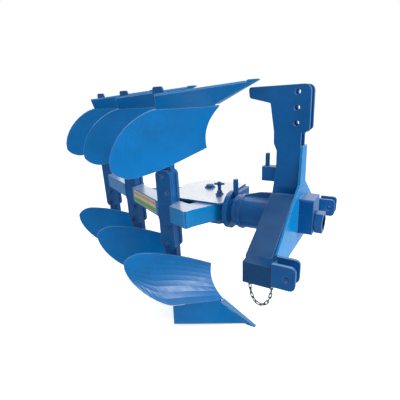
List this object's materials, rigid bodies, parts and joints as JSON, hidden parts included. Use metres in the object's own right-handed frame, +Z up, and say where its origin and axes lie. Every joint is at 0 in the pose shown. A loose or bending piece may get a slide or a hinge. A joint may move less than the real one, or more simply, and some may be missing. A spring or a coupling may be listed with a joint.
{
  "type": "mounted turnover mouldboard plough",
  "caption": "Mounted reversible mouldboard plough for a three-point hitch, whose frame turns half round on the headstock to bring the other set of bodies down.",
  "frame": {"origin": "on the ground, under the middle of the plough's box", "axes": "+X forward towards the tractor, +Y to the left, +Z up"},
  "size_m": [1.9164, 0.955, 1.334],
  "materials": {
    "frame_paint": "glossy blue enamel with chips and dust",
    "body_paint": "glossy lighter blue enamel on the soil-working pieces",
    "bare_steel": "oiled turned steel",
    "chain_steel": "dark greasy steel"
  },
  "bodies": {
    "headstock": {"bearing_housing": "frame_paint", "bearing_rib": "frame_paint", "front_bearing": "frame_paint", "headstock_front_plate": "frame_paint", "hitch_chain": "chain_steel", "left_headstock_leg": "frame_paint", "right_headstock_leg": "frame_paint", "left_inner_clevis_plate": "frame_paint", "left_outer_clevis_plate": "frame_paint", "right_inner_clevis_plate": "frame_paint", "right_outer_clevis_plate": "frame_paint", "left_mast_plate": "frame_paint", "right_mast_plate": "frame_paint", "rear_bracket": "frame_paint"},
    "frame": {"front_lower_mouldboard": "body_paint", "front_lower_share": "body_paint", "front_lower_point_bar": "body_paint", "front_lower_landside": "frame_paint", "front_lower_leg": "frame_paint", "front_upper_mouldboard": "body_paint", "front_upper_share": "body_paint", "front_upper_point_bar": "body_paint", "front_upper_landside": "frame_paint", "front_upper_leg": "frame_paint", "middle_lower_mouldboard": "body_paint", "middle_lower_share": "body_paint", "middle_lower_point_bar": "body_paint", "middle_lower_landside": "frame_paint", "middle_lower_leg": "frame_paint", "middle_upper_mouldboard": "body_paint", "middle_upper_share": "body_paint", "middle_upper_point_bar": "body_paint", "middle_upper_landside": "frame_paint", "middle_upper_leg": "frame_paint", "rear_lower_mouldboard": "body_paint", "rear_lower_share": "body_paint", "rear_lower_point_bar": "body_paint", "rear_lower_landside": "frame_paint", "rear_lower_leg": "frame_paint", "rear_upper_mouldboard": "body_paint", "rear_upper_share": "body_paint", "rear_upper_point_bar": "body_paint", "rear_upper_landside": "frame_paint", "rear_upper_leg": "frame_paint", "front_leg_bracket": "frame_paint", "middle_leg_bracket": "frame_paint", "rear_leg_bracket": "frame_paint", "front_beam": "frame_paint", "rear_beam": "frame_paint", "near_cross_member": "frame_paint", "far_cross_member": "frame_paint", "rear_brace": "frame_paint", "upper_deck_plate": "frame_paint", "lower_deck_plate": "frame_paint", "pivot_bolt": "bare_steel", "turning_head": "frame_paint", "turnover_shaft": "bare_steel", "shaft_nut": "frame_paint"}
  },
  "joints": [
    {"name": "turnover", "type": "hinge", "parent": "headstock", "child": "frame", "pos_m": [0.6162, 0, 0.667], "axis": [1, 0, 0], "range_deg": [0, 180]}
  ]
}
